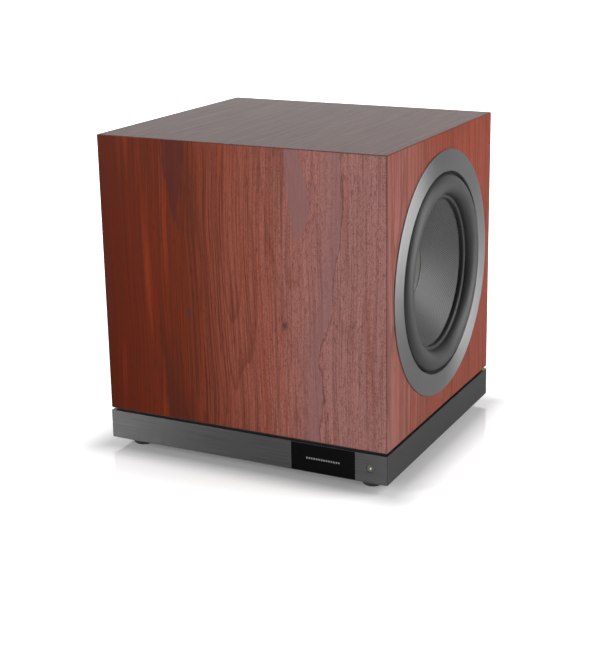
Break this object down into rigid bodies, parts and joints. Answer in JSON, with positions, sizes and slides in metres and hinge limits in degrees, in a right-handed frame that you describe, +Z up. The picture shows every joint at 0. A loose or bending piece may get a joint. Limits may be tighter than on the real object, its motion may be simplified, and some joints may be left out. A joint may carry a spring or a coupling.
{
  "type": "subwoofer",
  "caption": "Powered subwoofer in a veneered box on a metal-clad plinth with rubber feet, an opposed drive unit in each side, a front display and power button, and an amplifier in the back.",
  "frame": {"origin": "centre of the footprint, at the floor under the feet", "axes": "+X to the right seen from the front, -Y out of the front, +Z up"},
  "size_m": [0.4136, 0.36, 0.4205],
  "materials": {
    "veneer": "satin lacquered reddish-brown veneer, grain upright",
    "board": "bare fibreboard",
    "black_board": "black painted board",
    "fascia": "dark anodised aluminium, brushed lengthwise",
    "ring": "dark anodised aluminium, turned",
    "acrylic": "gloss black",
    "rubber": "matte black rubber",
    "cone": "woven fibre skin, satin",
    "cast": "black powder-coated die casting",
    "amp_plate": "black textured sheet aluminium",
    "steel": "plated steel",
    "ferrite": "fired ferrite",
    "cloth": "resin-dipped cloth",
    "copper": "enamelled copper winding on its former",
    "gold": "gold-plated",
    "circuit": "circuit board with its parts",
    "plastic": "moulded black plastic",
    "lens": "clear yellow-green lens, lit"
  },
  "bodies": {
    "cabinet": {"cabinet_shell": "veneer", "cabinet_brace": "board", "plinth_core": "black_board", "plinth_front": "fascia", "plinth_right": "fascia", "plinth_rear": "fascia", "plinth_left": "fascia", "shadow_gasket": "rubber", "display_window": "acrylic", "display_module": "plastic", "control_board": "circuit", "amplifier_plate": "amp_plate", "heat_sink": "cast", "mains_inlet": "plastic", "power_switch_frame": "plastic", "trigger_socket": "plastic", "amplifier_board": "circuit", "power_supply_board": "circuit", "foot_front_left": "rubber", "foot_screw_front_left": "steel", "foot_front_right": "rubber", "foot_screw_front_right": "steel", "foot_rear_left": "rubber", "foot_screw_rear_left": "steel", "foot_rear_right": "rubber", "foot_screw_rear_right": "steel", "trim_ring_right": "ring", "basket_right": "cast", "frame_gasket_right": "rubber", "surround_right": "rubber", "spider_right": "cloth", "top_plate_right": "steel", "magnet_right": "ferrite", "pole_piece_right": "steel", "terminal_block_right": "plastic", "xlr_socket_right": "plastic", "rca_socket_right": "gold", "trim_ring_left": "ring", "basket_left": "cast", "frame_gasket_left": "rubber", "surround_left": "rubber", "spider_left": "cloth", "top_plate_left": "steel", "magnet_left": "ferrite", "pole_piece_left": "steel", "terminal_block_left": "plastic", "xlr_socket_left": "plastic", "rca_socket_left": "gold"},
    "right_diaphragm": {"cone_right": "cone", "dust_cap_right": "cone", "voice_coil_right": "copper"},
    "left_diaphragm": {"cone_left": "cone", "dust_cap_left": "cone", "voice_coil_left": "copper"},
    "button": {"power_button": "fascia", "status_lens": "lens"},
    "rocker": {"power_switch_rocker": "plastic"},
    "drawer": {"fuse_drawer": "plastic"},
    "right_latch": {"xlr_latch_right": "steel"},
    "left_latch": {"xlr_latch_left": "steel"}
  },
  "joints": [
    {"name": "right_diaphragm_travel", "type": "slide", "parent": "cabinet", "child": "right_diaphragm", "axis": [1, 0, 0], "range_m": [-0.012, 0.012], "stiffness_N_per_m": 3000, "deforming": ["surround_right", "spider_right"]},
    {"name": "left_diaphragm_travel", "type": "slide", "parent": "cabinet", "child": "left_diaphragm", "axis": [-1, 0, 0], "range_m": [-0.012, 0.012], "stiffness_N_per_m": 3000, "deforming": ["surround_left", "spider_left"]},
    {"name": "button_press", "type": "slide", "parent": "cabinet", "child": "button", "axis": [0, 1, 0], "range_m": [0, 0.001], "stiffness_N_per_m": 400, "springref_m": -0.002},
    {"name": "rocker_tip", "type": "hinge", "parent": "cabinet", "child": "rocker", "pos_m": [-0.078, 0.162, 0.187], "axis": [1, 0, 0], "range_deg": [-14, 0]},
    {"name": "drawer_pull", "type": "slide", "parent": "cabinet", "child": "drawer", "axis": [0, 1, 0], "range_m": [0, 0.018]},
    {"name": "right_latch_press", "type": "slide", "parent": "cabinet", "child": "right_latch", "axis": [0, -1, 0], "range_m": [0, 0.0012], "stiffness_N_per_m": 500, "springref_m": -0.001},
    {"name": "left_latch_press", "type": "slide", "parent": "cabinet", "child": "left_latch", "axis": [0, -1, 0], "range_m": [0, 0.0012], "stiffness_N_per_m": 500, "springref_m": -0.001}
  ]
}
